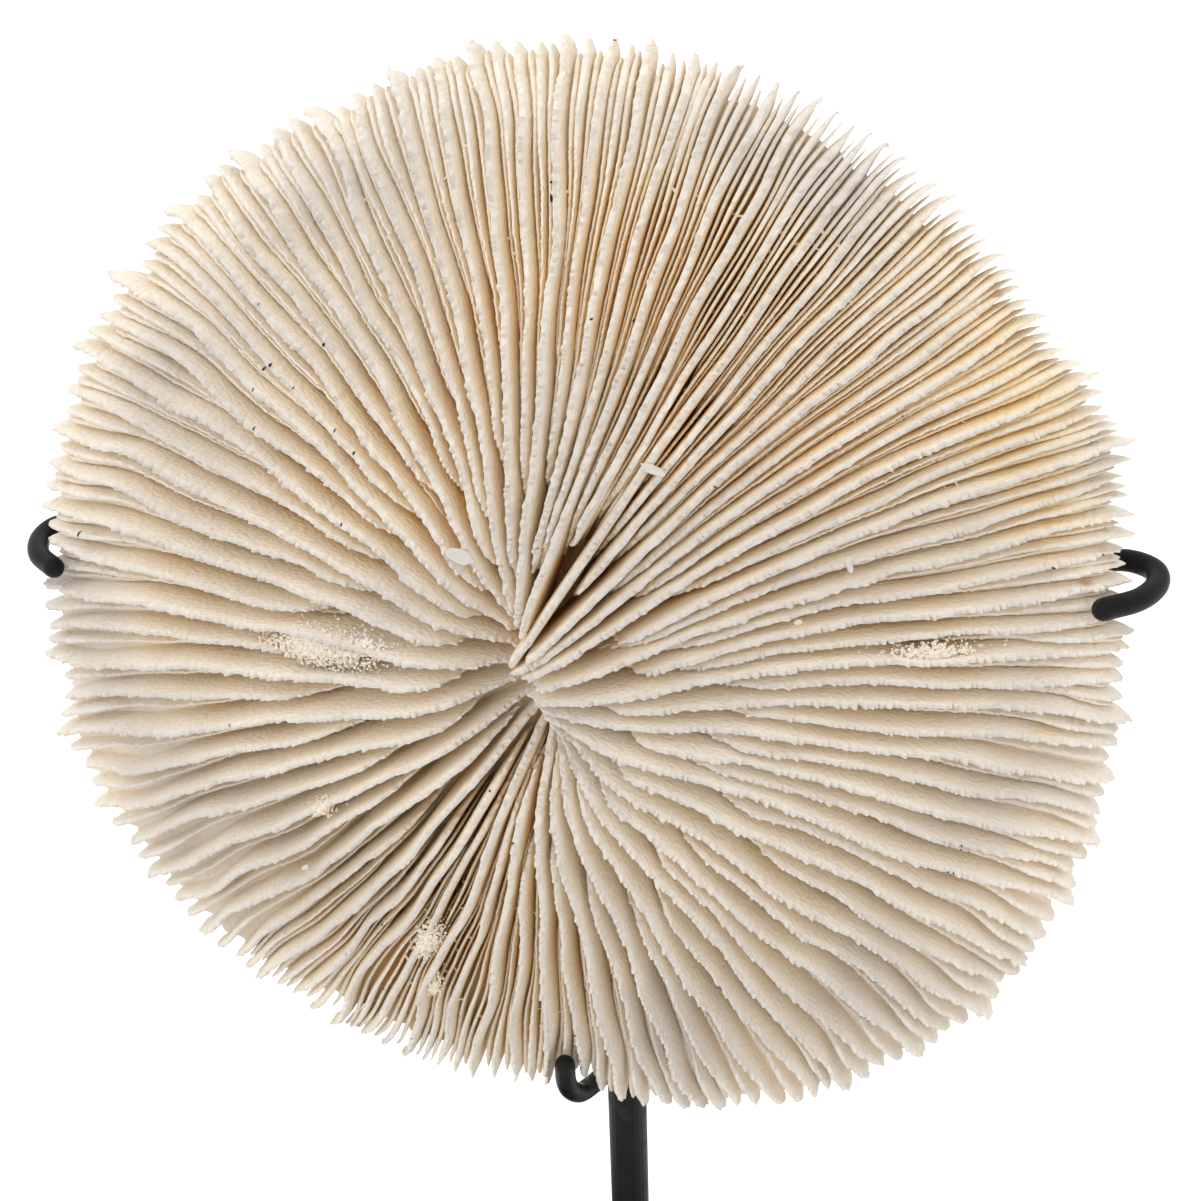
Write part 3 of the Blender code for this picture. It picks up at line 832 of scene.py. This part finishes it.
bars = build_bars()
coral_pieces.append(bars)
print("bars:", BARS, "triangles:", triangle_count(bars))

# %% [markdown]
# In a few places a crumbly crust has grown over the edges and fills the gaps, and here and there a
# thin chip lies across the plates. A crust is a heap of small uneven grains that overlap.

# %% Crusts and chips
# Direction, reach, half length along the plates, half width, number of grains
CRUSTS = (
    (181.5, 0.400, 9.0, 2.2, 1400),
    (178.0, 0.300, 4.0, 1.2, 180),
    (246.0, 0.585, 4.4, 1.9, 480),
    (250.0, 0.700, 2.8, 1.2, 160),
    (3.5, 0.655, 6.6, 1.3, 420),
    (214.5, 0.495, 2.4, 1.2, 160),
)
# Direction, reach, turn of the chip, length, width
CHIPS = (
    (57.0, 0.330, -20.0, 3.4, 1.1),
    (19.5, 0.515, 105.0, 2.3, 0.8),
    (128.0, 0.165, 160.0, 4.0, 1.9),
    (12.0, 0.430, 20.0, 1.1, 0.6),
    (222.0, 0.610, 40.0, 1.3, 0.7),
)


def grain_shape():
    """Points and faces of a small ball of twenty faces."""
    mesh = bmesh.new()
    bmesh.ops.create_icosphere(mesh, subdivisions=1, radius=1.0)
    mesh.verts.index_update()
    points = np.array([tuple(vert.co) for vert in mesh.verts])
    faces = [tuple(vert.index for vert in face.verts) for face in mesh.faces]
    mesh.free()
    return points, faces


def build_crusts():
    """All grains of the crusts as one mesh."""
    ball, ball_faces = grain_shape()
    dice = np.random.default_rng(SEED + 3)
    points, faces, deep = [], [], []
    for direction, reach, half_length, half_width, count in CRUSTS:
        for _ in range(count):
            out, side = dice.normal(0, 0.5, 2)
            here = reach + out * half_length / RIM_RADIUS
            angle = math.radians(direction) + side * half_width / (here * RIM_RADIUS)
            size = dice.uniform(0.16, 0.42) * (1.2 - 0.4 * min(abs(out) + abs(side), 1.5))
            down = dice.uniform(0.2, 1.1) + 0.9 * (out ** 2 + side ** 2)
            place = face_place(np.array([angle]), np.array([here]))[0]
            height = float(dome_height(angle, here)) - down
            lumpy = ball * dice.uniform(0.72, 1.25, (len(ball), 1)) * dice.uniform(0.7, 1.2, 3)
            points.append(lumpy * size + np.array([place[0], place[1], height]))
            faces += [tuple(corner + len(ball) * len(deep) for corner in face) for face in ball_faces]
            deep.append(dice.uniform(0.6, 2.4) + 3.0 * (dice.uniform() < 0.06))
    values = {"below_edge": np.repeat(deep, len(ball))}
    return add_object("crusts", to_world(np.concatenate(points)), faces, values)


def build_chips():
    """The thin chips as one mesh: each is a leaf shape with a rough rim."""
    dice = random.Random(SEED + 4)
    points, faces = [], []
    for direction, reach, turn, length, width in CHIPS:
        angle = math.radians(direction)
        place = face_place(np.array([angle]), np.array([reach]))[0]
        height = float(dome_height(angle, reach))
        long = math.radians(turn)
        for layer in (0.0, -0.28):
            for corner in range(12):
                around = 2 * math.pi * corner / 12
                along = length / 2 * math.cos(around) * dice.uniform(0.9, 1.1)
                across = width / 2 * math.sin(around) * dice.uniform(0.75, 1.2)
                points.append((place[0] + along * math.cos(long) - across * math.sin(long),
                               place[1] + along * math.sin(long) + across * math.cos(long),
                               height + 0.35 + layer + 0.12 * along))
        faces += rings_to_faces(2, 12, len(points) - 24)
    return add_object("chips", to_world(points), faces, {"below_edge": np.zeros(len(points))}, smooth_deg=30)


coral_pieces += [build_crusts(), build_chips()]
print("crust and chip triangles:", [triangle_count(piece) for piece in coral_pieces[-2:]])

# %% [markdown]
# The three arms are bent from one kind of wire. Each runs along a smooth curve through a few given
# points, the solids' own points to within a quarter of a millimetre, and is drawn here with
# many more sides, so that its outline is round from close by. A free end is ground round.

# %% The wires
WIRE_SIDES = 28
WIRE_ROUND = 0.96
ROD_RADIUS = ROD_DIAMETER / 2
WIRE_KNOTS = {
    "left_arm": (
        (ROD_RIGHT - ROD_RADIUS - BRAZE_GAP, -ROD_FORWARD, -7.0),
        (-10.0, -4.4, -6.0), (-36.0, -3.4, -1.0), (-56.0, 1.0, 3.0), (-70.0, 6.4, 5.6),
        (-77.4, 9.4, 6.2), (-81.8, 8.6, 6.2), (-82.8, 4.6, 6.0), (-80.8, -0.2, 6.0), (-76.8, -3.8, 6.0),
    ),
    "right_arm": (
        (ROD_RIGHT + ROD_RADIUS + BRAZE_GAP, -ROD_FORWARD, -7.0),
        (24.0, -4.2, -5.0), (44.0, -2.0, 1.0), (60.0, 3.2, 7.0), (70.0, 7.4, 10.8),
        (76.4, 8.8, 12.0), (80.6, 6.6, 12.2), (81.15, 2.8, 12.0), (78.6, -1.8, 12.0), (73.8, -5.2, 12.0),
    ),
    "bottom_hook": (
        (ROD_RIGHT - ROD_RADIUS * 0.8 - TOUCH_GAP, -ROD_FORWARD - ROD_RADIUS * 0.75, -79.6),
        (3.2, -9.6, -79.9), (2.0, -13.4, -78.1), (1.4, -17.2, -73.9), (1.3, -19.6, -69.7),
        (1.5, -20.7, -65.4),
    ),
}


def smooth_curve(knots, parts):
    """Points along a smooth curve through the knots."""
    knots = np.array(knots)
    knots = np.concatenate([[2 * knots[0] - knots[1]], knots, [2 * knots[-1] - knots[-2]]])
    t = np.linspace(0, 1, parts, endpoint=False)[:, None]
    curve = []
    for before, start, end, after in zip(knots, knots[1:], knots[2:], knots[3:]):
        bend = (2 * before - 5 * start + 4 * end - after) * t ** 2
        twist = (3 * start - before - 3 * end + after) * t ** 3
        curve.append((2 * start + (end - before) * t + bend + twist) / 2)
    return np.concatenate(curve + [knots[-2:-1]])


def build_wire(name, knots):
    """A round wire with a square end at the rod and a rounded free end."""
    route = smooth_curve(knots, 14)
    radius = WIRE_DIAMETER / 2 * WIRE_ROUND
    radii = [radius] * len(route)
    forward = (route[-1] - route[-2]) / np.linalg.norm(route[-1] - route[-2])
    last = route[-1]
    for step in np.radians((15, 30, 45, 60, 75, 85)):
        route = np.concatenate([route, [last + forward * radius * math.sin(step)]])
        radii.append(radius * math.cos(step))
    ahead = np.gradient(route, axis=0)
    ahead /= np.linalg.norm(ahead, axis=1, keepdims=True)
    side = np.cross(ahead[0], (0.3, 0.5, 0.8))
    points = []
    for place, towards, size in zip(route, ahead, radii):
        side = side - towards * (side @ towards)
        side /= np.linalg.norm(side)
        other = np.cross(towards, side)
        for corner in range(WIRE_SIDES):
            turn = 2 * math.pi * corner / WIRE_SIDES
            points.append(place + (side * math.cos(turn) + other * math.sin(turn)) * size)
    world = np.array(points) * MM + np.array(CENTRE)
    return add_object(name + "_round", world, rings_to_faces(len(route), WIRE_SIDES, 0))


wires = {name: build_wire(name, knots) for name, knots in WIRE_KNOTS.items()}
print("wires:", {name: triangle_count(wire) for name, wire in wires.items()})

# %% [markdown]
# Shader maths reads best as plain expressions. This small class wraps a socket of a node tree:
# numbers go through Math nodes, colours through Mix, and any other node comes from one method.

# %% A wrapper for sockets


class Wire:
    """A socket of a shader tree that can be used in expressions."""

    def __init__(self, tree, socket):
        self.tree = tree
        self.socket = socket

    def node(self, kind, settings=None, out=0, **values):
        """Adds a node, sets its settings, then fills its sockets by number or name."""
        made = self.tree.nodes.new(kind)
        for key, value in (settings or {}).items():
            if key == "stops":
                set_stops(made.color_ramp, value)
            else:
                setattr(made, key, value)
        for key, value in values.items():
            name = int(key[1:]) if key[0] == "_" and key[1:].isdigit() else key.replace("_", " ")
            fill(self.tree, made.inputs[name], value)
        return Wire(self.tree, made.outputs[out])

    def maths(self, operation, first, second=0.0):
        """One Math node."""
        return self.node("ShaderNodeMath", {"operation": operation}, _0=first, _1=second)

    def __add__(self, other):
        return self.maths("ADD", self, other)

    def __radd__(self, other):
        return self.maths("ADD", other, self)

    def __sub__(self, other):
        return self.maths("SUBTRACT", self, other)

    def __rsub__(self, other):
        return self.maths("SUBTRACT", other, self)

    def __mul__(self, other):
        return self.maths("MULTIPLY", self, other)

    def __rmul__(self, other):
        return self.maths("MULTIPLY", other, self)

    def __truediv__(self, other):
        return self.maths("DIVIDE", self, other)

    def clamp(self, low, high):
        """This value mapped so that low is 0 and high is 1, and held there."""
        return self.node("ShaderNodeMapRange", Value=self, From_Min=low, From_Max=high)

    def near(self, centre, inner, outer):
        """For a place: 1 within the inner distance of a centre, 0 past the outer one."""
        away = self.node("ShaderNodeVectorMath", {"operation": "DISTANCE"}, out=1, _0=self, _1=centre)
        return away.clamp(outer, inner)

    def mix(self, first, second):
        """A colour between two others, with this value as the share of the second."""
        return self.node("ShaderNodeMix", {"data_type": "RGBA"}, out=2, _0=self, _6=first, _7=second)


def set_stops(ramp, stops):
    """Sets a colour ramp's stops from (place, colour) pairs."""
    while len(ramp.elements) < len(stops):
        ramp.elements.new(0.5)
    for element, (place, colour) in zip(ramp.elements, stops):
        element.position = place
        element.color = (*colour, 1.0)


def fill(tree, socket, value):
    """Links a wire to a socket, or sets the socket's own value."""
    if isinstance(value, Wire):
        tree.links.new(value.socket, socket)
    elif isinstance(value, tuple) and len(value) == 3 and socket.type == "RGBA":
        socket.default_value = (*value, 1.0)
    else:
        socket.default_value = value


def new_material(name, roughness, metallic=0.0):
    """A material with one shader; returns it, the shader and a wire that holds the place."""
    made = bpy.data.materials.new(name)
    made.use_nodes = True
    shader = made.node_tree.nodes["Principled BSDF"]
    shader.inputs["Roughness"].default_value = roughness
    shader.inputs["Metallic"].default_value = metallic
    place = made.node_tree.nodes.new("ShaderNodeNewGeometry")
    return made, shader, Wire(made.node_tree, place.outputs["Position"])


# %% [markdown]
# The coral's stone is off-white on its edges, painted a little darker there than on the flanks just
# below them: painted shade on the edges and painted light on the flanks, for light shining through the
# thin plates. Down in the gaps it grows warmer, from cream to brown, partly for age and dust and partly
# as painted shade. The number that was stored on the points drives a ramp of these colours. Slow noise
# shifts the tone from place to place, one side has a yellow stain, and tiny black specks sit on the edges.
# The hollow back is a paler, dusty tone of its own, found by the height over the back's surface.

# %% The coral's material


# The first stop paints the edges darker than the flanks: painted shade on edges, painted light on flanks. The
# later stops go from cream to brown: partly age and dust, partly painted shade deep in the gaps.
STONE_STOPS = (
    (0.00, (0.74, 0.685, 0.63)),
    (0.05, (0.86, 0.80, 0.72)),
    (0.12, (0.94, 0.87, 0.765)),
    (0.30, (0.92, 0.815, 0.645)),
    (0.55, (0.88, 0.69, 0.42)),
    (1.00, (0.79, 0.52, 0.235)),
)
# Direction, reach, inner and outer distance, strength
YELLOW_STAINS = ((28.5, 0.86, 3.0, 11.0, 0.75), (18.0, 0.86, 2.0, 9.0, 0.6), (38.0, 0.87, 2.0, 10.0, 0.6),
                 (48.0, 0.88, 2.0, 8.0, 0.4), (352.0, 0.86, 1.0, 3.5, 0.6))
ORANGE_SPOTS = ((58.0, 0.83, 0.3, 0.9, 0.8), (48.5, 0.955, 0.2, 0.8, 0.8), (41.0, 0.95, 0.3, 1.0, 0.8),
                (10.0, 0.925, 0.5, 1.5, 0.7))
BACK_PALE = (0.86, 0.80, 0.71)
BACK_DUSTY = (0.74, 0.64, 0.50)
BACK_FADE = (1.1, 0.6)
YELLOW = (0.90, 0.71, 0.36)
ORANGE = (0.66, 0.30, 0.12)
SPECK_BLACK = (0.03, 0.03, 0.035)
DUST = (0.72, 0.60, 0.46)
DUST_SHARE = 0.16
DEEPEST = 12.0


def face_point(direction, reach, below=1.0):
    """A place in the world, a little below the plates' edges."""
    angle = math.radians(direction)
    flat = face_place(np.array([angle]), np.array([reach]))[0]
    return tuple(to_world([[flat[0], flat[1], float(dome_height(angle, reach)) - below]])[0])


def above_back(place):
    """Height of a place over the hollow back, in metres."""
    outwards = tuple(FACE_AXES[2])
    height = place.node("ShaderNodeVectorMath", {"operation": "DOT_PRODUCT"}, out=1, _0=place, _1=outwards)
    height = height - float(np.dot(CENTRE, FACE_AXES[2]))
    middle = tuple(to_world([[MOUTH_RIGHT / 2, MOUTH_UP / 2, 0.0]])[0])
    away = place.node("ShaderNodeVectorMath", {"operation": "DISTANCE"}, out=1, _0=place, _1=middle)
    across = (away * away - height * height) / (RIM_RADIUS * MM) ** 2
    return height - (1.0 - across) * (BACK_HOLLOW * MM) + BACK_SETBACK * MM


def coral_material():
    """Worn, dry coral stone."""
    made, shader, place = new_material("coral_stone", 0.88)
    depth = place.node("ShaderNodeAttribute", {"attribute_name": "below_edge"}, out=2)
    speck = place.node("ShaderNodeAttribute", {"attribute_name": "speck"}, out=2)
    slow = place.node("ShaderNodeTexNoise", Vector=place, Scale=38.0, Detail=1.0)
    fine = place.node("ShaderNodeTexNoise", Vector=place, Scale=1400.0, Detail=0.0)
    # Painted shade and age together: the stored number, spread by slow noise, picks the colour from the ramp
    aged_and_shaded = (depth * (0.62 + slow.clamp(0.35, 0.65) * 0.76) + (slow - 0.5) * 1.5) / DEEPEST
    tone = aged_and_shaded.node("ShaderNodeValToRGB", {"stops": STONE_STOPS}, Fac=aged_and_shaded)
    for direction, reach, inner, outer, strength in YELLOW_STAINS:
        stain = place.near(face_point(direction, reach), inner * MM, outer * MM)
        tone = (stain * depth.clamp(0.2, 1.4) * strength).mix(tone, YELLOW)
    for direction, reach, inner, outer, strength in ORANGE_SPOTS:
        tone = (place.near(face_point(direction, reach), inner * MM, outer * MM) * strength).mix(tone, ORANGE)
    tone = (fine.clamp(0.40, 0.75) * DUST_SHARE).mix(tone, DUST)
    back = slow.clamp(0.42, 0.62).mix(BACK_PALE, BACK_DUSTY)
    tone = above_back(place).clamp(BACK_FADE[0] * MM, BACK_FADE[1] * MM).mix(tone, back)
    tone = speck.clamp(0.35, 0.65).mix(tone, SPECK_BLACK)
    fill(made.node_tree, shader.inputs["Base Color"], tone)
    bump = fine.node("ShaderNodeBump", Height=fine, Strength=0.7, Distance=0.0003)
    fill(made.node_tree, shader.inputs["Normal"], bump)
    return made


stone = coral_material()
for piece in coral_pieces:
    piece.data.materials.append(stone)
    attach(piece, "root")
    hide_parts("coral")

# %% [markdown]
# The stand is painted satin black. Where the wires are bent, the real paint has crazed and worn to a dull
# brown. Here noise in two sizes spreads worn patches of that brown over the whole stand, and they are rougher
# than the paint.

# %% The stand's paint


def paint_material():
    """Satin black paint with worn patches."""
    made, shader, place = new_material("black_paint", 0.5)
    shader.inputs["Specular IOR Level"].default_value = 0.16
    grain = place.node("ShaderNodeTexNoise", Vector=place, Scale=420.0, Detail=5.0)
    patch = place.node("ShaderNodeTexNoise", Vector=place, Scale=95.0, Detail=2.0)
    worn = (grain.clamp(0.54, 0.66) * patch.clamp(0.48, 0.62))
    tone = grain.clamp(0.3, 0.7).mix((0.003, 0.003, 0.0035), (0.008, 0.008, 0.009))
    tone = (worn * 0.7).mix(tone, (0.060, 0.050, 0.040))
    fill(made.node_tree, shader.inputs["Base Color"], tone)
    fill(made.node_tree, shader.inputs["Roughness"], 0.42 + worn * 0.3 + grain.clamp(0.3, 0.7) * 0.1)
    bump = grain.node("ShaderNodeBump", Height=grain, Strength=0.12, Distance=0.0004)
    fill(made.node_tree, shader.inputs["Normal"], bump)
    return made


paint = paint_material()
for name in ("rod", "base"):
    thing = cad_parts[name]
    thing.data.materials.clear()
    thing.data.materials.append(paint)
for name, wire in wires.items():
    wire.data.materials.append(paint)
    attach(wire, "root")
    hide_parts(name)

# %% [markdown]
# A pale floor and a white surround stand for a studio. The surround grows brighter upwards, and a wide
# soft patch of it at the upper left is brighter still. The floor itself throws no light up at the
# coral. The surround's lower half does that, and it is dimmer than the upper half, so that the coral's
# lower side is a little darker than its top. Light finds its way into the deep, pale gaps by bouncing
# from plate to plate, and the scene lets it bounce seven times.

# %% Floor and light
LIGHT_BELOW = 0.73
LIGHT_LEVEL = 0.92
LIGHT_OVERHEAD = 1.12
PATCH_PLACE = (-0.5, -0.7, 0.9)
PATCH_STRENGTH = 0.79
PATCH_FROM = 0.80
MOST_BOUNCES = 8
MATT_BOUNCES = 7


def add_floor():
    """A wide pale floor."""
    bpy.ops.mesh.primitive_plane_add(size=6.0, location=(0, 0, 0))
    floor = bpy.context.object
    floor.name = "floor"
    made, shader, place = new_material("pale_floor", 0.9)
    shader.inputs["Base Color"].default_value = (0.93, 0.93, 0.93, 1)
    shader.inputs["Emission Color"].default_value = (1, 1, 1, 1)
    shader.inputs["Emission Strength"].default_value = 0.35
    floor.data.materials.append(made)
    floor.visible_diffuse = False
    return floor


def add_surround():
    """A white surround with a bright patch; as it is nearly even, no light ray is aimed at it."""
    world = bpy.data.worlds.new("studio")
    bpy.context.scene.world = world
    world.use_nodes = True
    tree = world.node_tree
    direction = Wire(tree, tree.nodes.new("ShaderNodeTexCoord").outputs["Generated"])
    height = direction.node("ShaderNodeSeparateXYZ", out=2, Vector=direction)
    strength = LIGHT_BELOW + (LIGHT_LEVEL - LIGHT_BELOW) * height.clamp(-0.15, 0.0)
    strength = strength + (LIGHT_OVERHEAD - LIGHT_LEVEL) * height.clamp(0.0, 1.0)
    patch = tuple((Vector(PATCH_PLACE) - CENTRE).normalized())
    facing = direction.node(
        "ShaderNodeVectorMath", {"operation": "DOT_PRODUCT"}, out=1, _0=direction, _1=patch)
    strength = strength + PATCH_STRENGTH * facing.clamp(PATCH_FROM, 1.0)
    background = tree.nodes["Background"]
    background.inputs["Color"].default_value = (1, 1, 1, 1)
    fill(tree, background.inputs["Strength"], strength)
    world.cycles.sampling_method = "NONE"


add_floor()
add_surround()
bpy.context.scene.view_settings.view_transform = "Standard"
bpy.context.scene.cycles.max_bounces = MOST_BOUNCES
bpy.context.scene.cycles.diffuse_bounces = MATT_BOUNCES
